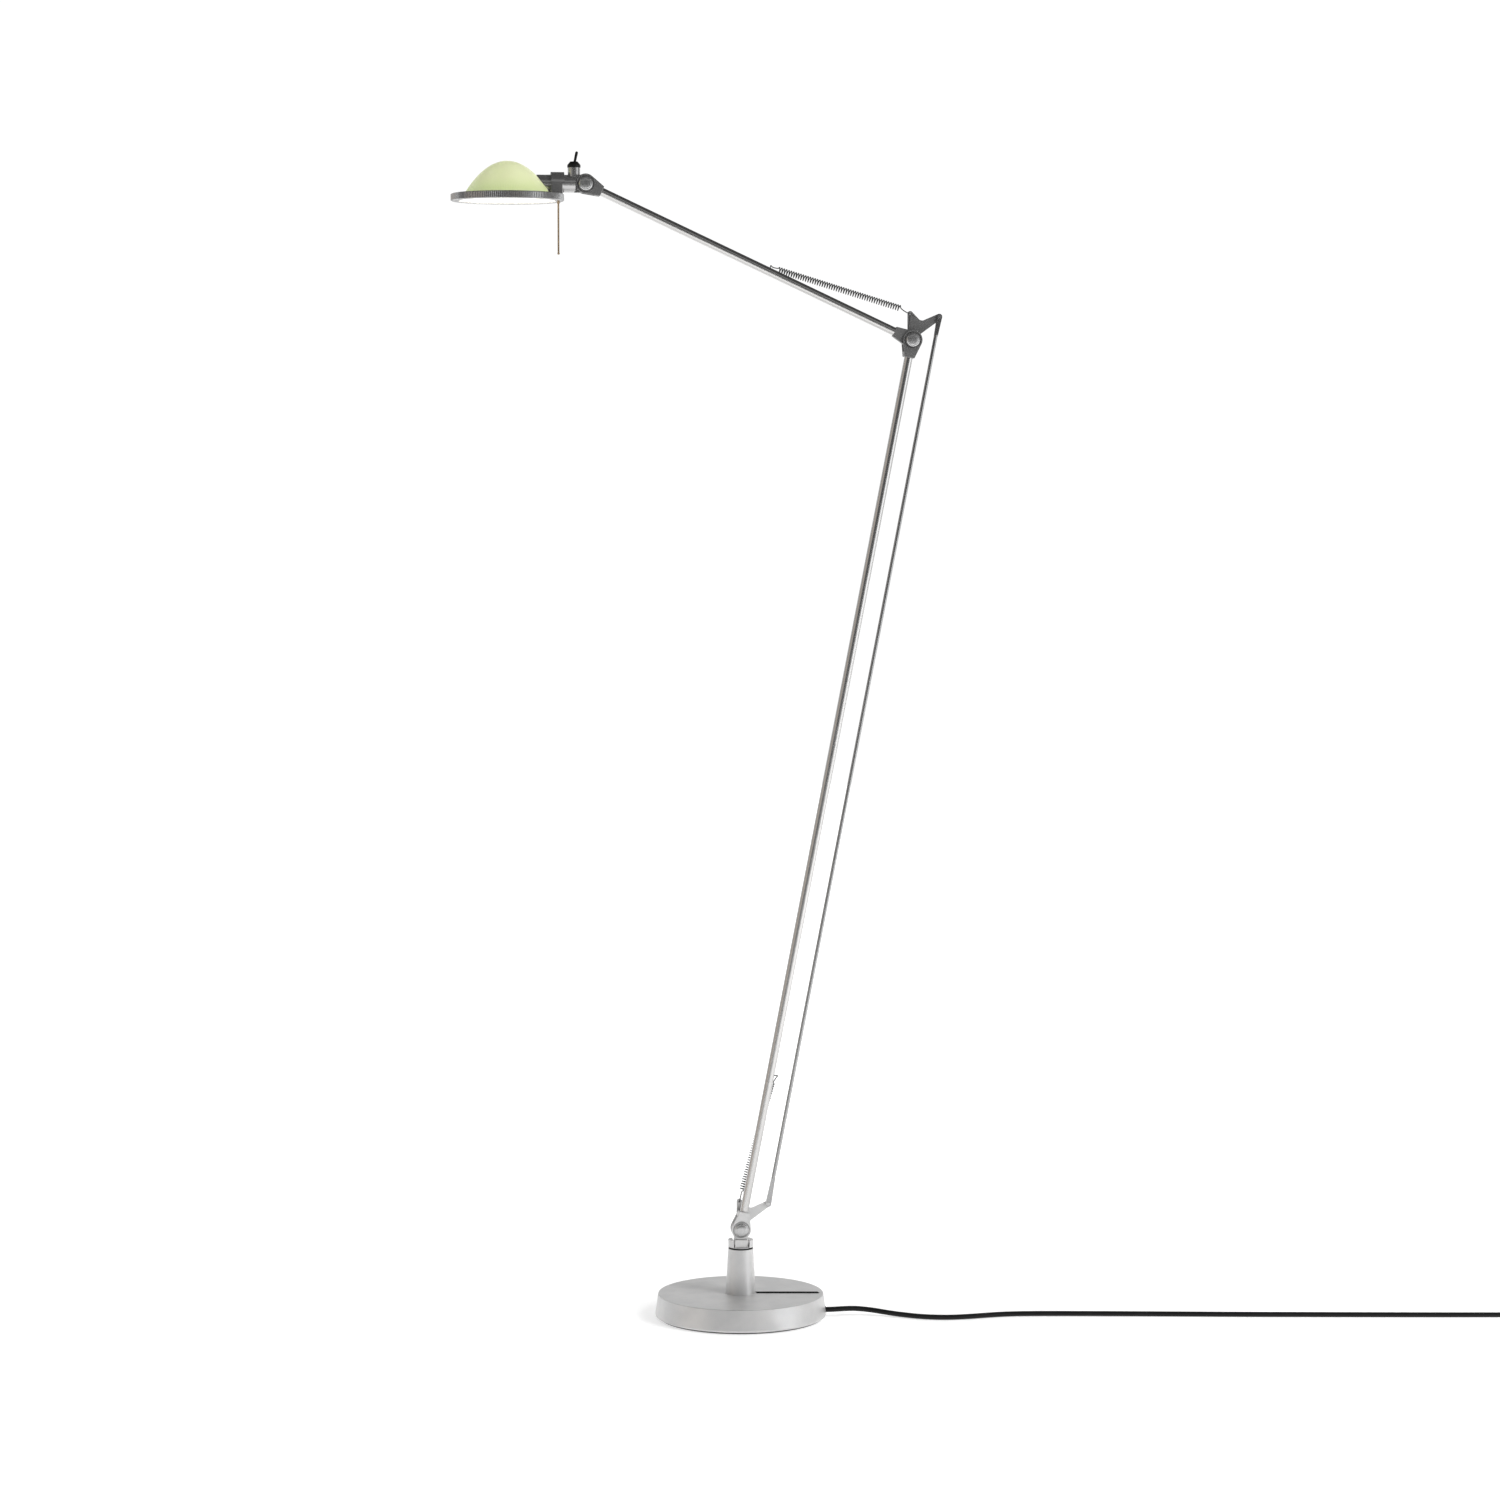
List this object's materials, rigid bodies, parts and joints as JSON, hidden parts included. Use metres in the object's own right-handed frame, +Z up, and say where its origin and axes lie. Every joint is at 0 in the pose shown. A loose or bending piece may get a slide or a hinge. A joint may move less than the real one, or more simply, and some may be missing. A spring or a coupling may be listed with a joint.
{
  "type": "adjustable arm floor lamp",
  "caption": "Slender spring-balanced floor lamp: round weighted base, swivel post, two tubular arms with a parallel rod, and a small tilting head with a frosted green glass dome.",
  "frame": {"origin": "centre of the base where it stands on the floor", "axes": "+Z up; the arms move in the XZ plane with the swivel at rest, the head reaches towards -X, and +Y is the rear side with the springs and linkage plates"},
  "size_m": [1.45, 0.2358, 1.4593],
  "materials": {
    "felt_pad": "matte",
    "zinc_steel": "satin",
    "weight_iron": "matte",
    "silver_paint": "satin",
    "bush_nylon": "matte",
    "cord_sheath": "matte",
    "holder_white": "matte",
    "black_plastic": "matte",
    "axle_steel": "satin",
    "cap_metal": "satin",
    "tube_metal": "satin",
    "dark_paint": "satin",
    "spring_wire": "satin",
    "rod_metal": "satin",
    "lamp_glass": "frosted",
    "dome_glass": "frosted",
    "diffuser_glass": "opal",
    "handle_metal": "satin"
  },
  "bodies": {
    "base": {"foot_pad": "felt_pad", "bottom_plate": "zinc_steel", "bottom_screws": "zinc_steel", "base_weight": "weight_iron", "base_shell": "silver_paint", "post": "silver_paint", "post_ring": "silver_paint", "post_screws": "zinc_steel", "upper_bush": "bush_nylon", "lower_bush": "bush_nylon", "base_lead": "cord_sheath", "terminal_block": "holder_white", "cord_gland": "black_plastic", "cord_run": "cord_sheath", "cord_coil": "cord_sheath", "cord_tail": "cord_sheath", "plug": "black_plastic"},
    "stem": {"swivel_spindle": "axle_steel", "spindle_clip": "zinc_steel", "swivel_collar": "silver_paint", "foot_knuckle": "silver_paint", "collar_screws": "zinc_steel", "base_plate": "silver_paint", "plate_screws": "zinc_steel"},
    "lower_arm": {"foot_fork": "silver_paint", "foot_axle": "axle_steel", "foot_cap": "cap_metal", "foot_nut": "axle_steel", "lower_tube": "tube_metal", "lower_lead": "cord_sheath", "elbow_fork": "dark_paint", "elbow_axle": "axle_steel", "elbow_cap": "cap_metal", "elbow_nut": "axle_steel", "lower_spring": "spring_wire"},
    "linkage_plate": {"elbow_plate": "dark_paint"},
    "rod": {"parallel_rod": "rod_metal", "rod_rivets": "axle_steel"},
    "upper_arm": {"elbow_knuckle": "dark_paint", "upper_tube": "tube_metal", "upper_lead": "cord_sheath", "head_fork": "dark_paint", "head_axle": "axle_steel", "head_cap": "cap_metal", "head_nut": "axle_steel", "upper_spring": "spring_wire"},
    "head_arm": {"head_knuckle": "dark_paint", "head_tube": "dark_paint", "lampholder": "holder_white", "bulb": "lamp_glass", "switch_body": "black_plastic", "switch_nut": "black_plastic"},
    "lever": {"switch_lever": "black_plastic"},
    "head": {"rim": "dark_paint", "rim_bracket": "dark_paint", "bracket_screws": "zinc_steel", "dome": "dome_glass", "diffuser": "diffuser_glass", "glass_clips": "zinc_steel", "handle": "handle_metal"}
  },
  "joints": [
    {"name": "stem_swivel", "type": "hinge", "parent": "base", "child": "stem", "pos_m": [0, 0, 0.087], "axis": [0, 0, 1], "range_deg": [-170, 170]},
    {"name": "lower_arm_tilt", "type": "hinge", "parent": "stem", "child": "lower_arm", "pos_m": [0, 0, 0.112], "axis": [0, 1, 0], "range_deg": [-30, 19], "deforming": ["lower_spring"]},
    {"name": "plate_level", "type": "hinge", "parent": "lower_arm", "child": "linkage_plate", "pos_m": [0.21519, 0, 1.22947], "axis": [0, 1, 0], "range_deg": [-19.5, 30.5]},
    {"name": "rod_swing", "type": "hinge", "parent": "stem", "child": "rod", "pos_m": [0.036, 0, 0.1414], "axis": [0, 1, 0], "range_deg": [-30.5, 19.5]},
    {"name": "upper_arm_tilt", "type": "hinge", "parent": "linkage_plate", "child": "upper_arm", "pos_m": [0.21519, 0, 1.22947], "axis": [0, 1, 0], "range_deg": [-45, 45], "deforming": ["upper_spring"]},
    {"name": "head_tilt", "type": "hinge", "parent": "upper_arm", "child": "head_arm", "pos_m": [-0.19265, 0, 1.41965], "axis": [0, 1, 0], "range_deg": [-70, 45]},
    {"name": "head_roll", "type": "hinge", "parent": "head_arm", "child": "head", "pos_m": [-0.28865, 0, 1.41965], "axis": [1, 0, 0], "range_deg": [-90, 90]},
    {"name": "switch_toggle", "type": "hinge", "parent": "head_arm", "child": "lever", "pos_m": [-0.20655, 0, 1.44165], "axis": [0, 1, 0], "range_deg": [-24, 0]}
  ],
  "couplings": [
    {"joint": "plate_level", "follows": "lower_arm_tilt", "ratio": -1},
    {"joint": "rod_swing", "follows": "lower_arm_tilt", "ratio": 1}
  ]
}
